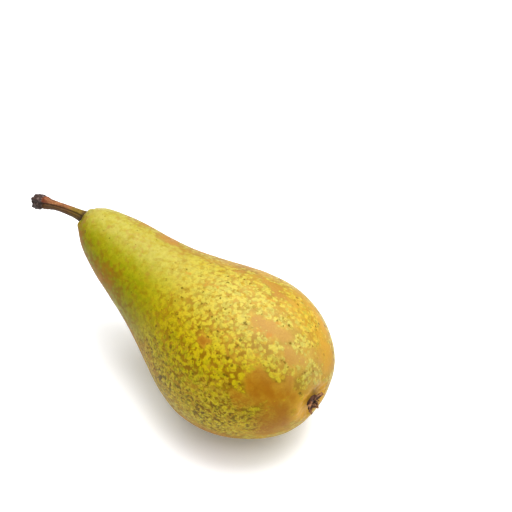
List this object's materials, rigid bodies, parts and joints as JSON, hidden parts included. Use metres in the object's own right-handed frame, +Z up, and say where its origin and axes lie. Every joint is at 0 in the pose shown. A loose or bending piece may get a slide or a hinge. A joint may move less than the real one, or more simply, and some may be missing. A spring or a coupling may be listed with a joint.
{
  "type": "pear",
  "caption": "Ripe pear lying on its side, with a slender neck, a full round belly, a woody stem and a small dried calyx, resting on a small flat spot.",
  "frame": {"origin": "middle of the flat spot on the underside of the belly, which the pear rests on", "axes": "+X from the stem end to the calyx end, +Z up, +Y to the left of somebody who looks along +X"},
  "size_m": [0.1437, 0.0666, 0.0659],
  "materials": {
    "skin": "satin yellow-green pear skin with russet",
    "stem": "rough woody bark",
    "calyx": "dry and brittle"
  },
  "bodies": {
    "root": {"fruit": "skin", "stem": "stem", "calyx": "calyx"}
  },
  "joints": []
}
